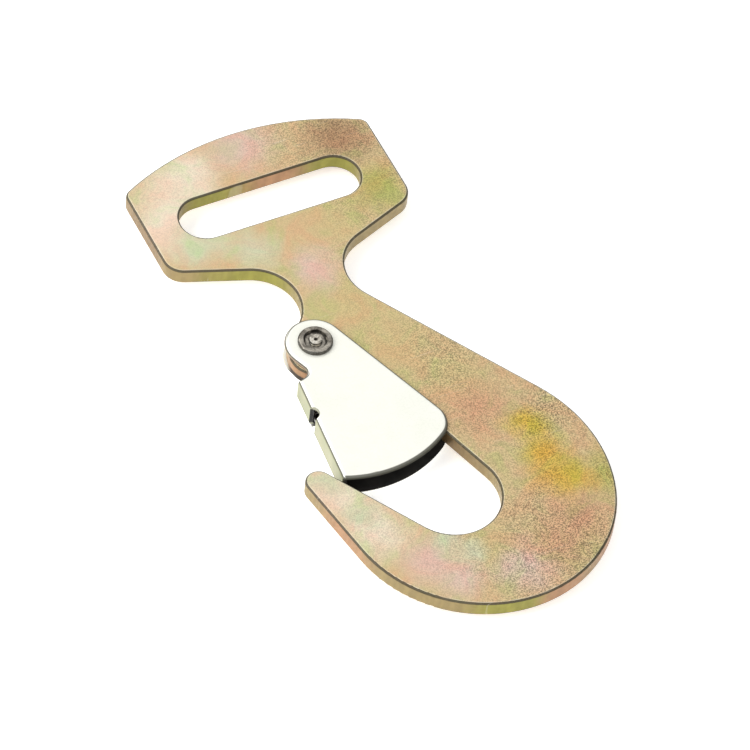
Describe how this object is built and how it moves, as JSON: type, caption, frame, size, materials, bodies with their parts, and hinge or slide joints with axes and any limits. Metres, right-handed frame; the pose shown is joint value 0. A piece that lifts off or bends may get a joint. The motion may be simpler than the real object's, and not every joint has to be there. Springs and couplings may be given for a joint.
{
  "type": "flat webbing snap hook",
  "caption": "Flat stamped steel snap hook with a webbing slot in its head, a spring-loaded folded sheet latch on a clinched rivet, and a yellow zinc finish.",
  "frame": {"origin": "middle of the webbing slot, in the plate's middle plane", "axes": "+X along the slot, +Y away from the hook's bowl, +Z out of the plate's face on the clinched side of the rivet"},
  "size_m": [0.0825, 0.1765, 0.01],
  "materials": {
    "yellow_zinc_steel": "yellow iridescent zinc plate",
    "bright_zinc_steel": "bright zinc plate",
    "rivet_steel": "dull zinc plate",
    "spring_steel": "bare wire"
  },
  "bodies": {
    "hook": {"hook_plate": "yellow_zinc_steel", "pivot_rivet": "rivet_steel", "latch_spring": "spring_steel"},
    "latch": {"latch": "bright_zinc_steel"}
  },
  "joints": [
    {"name": "latch_hinge", "type": "hinge", "parent": "hook", "child": "latch", "pos_m": [-0.0112, -0.0523, 0], "axis": [0, 0, 1], "range_deg": [0, 38], "stiffness_Nm_per_rad": 0.13, "springref_deg": -14.32, "deforming": ["latch_spring"]}
  ]
}
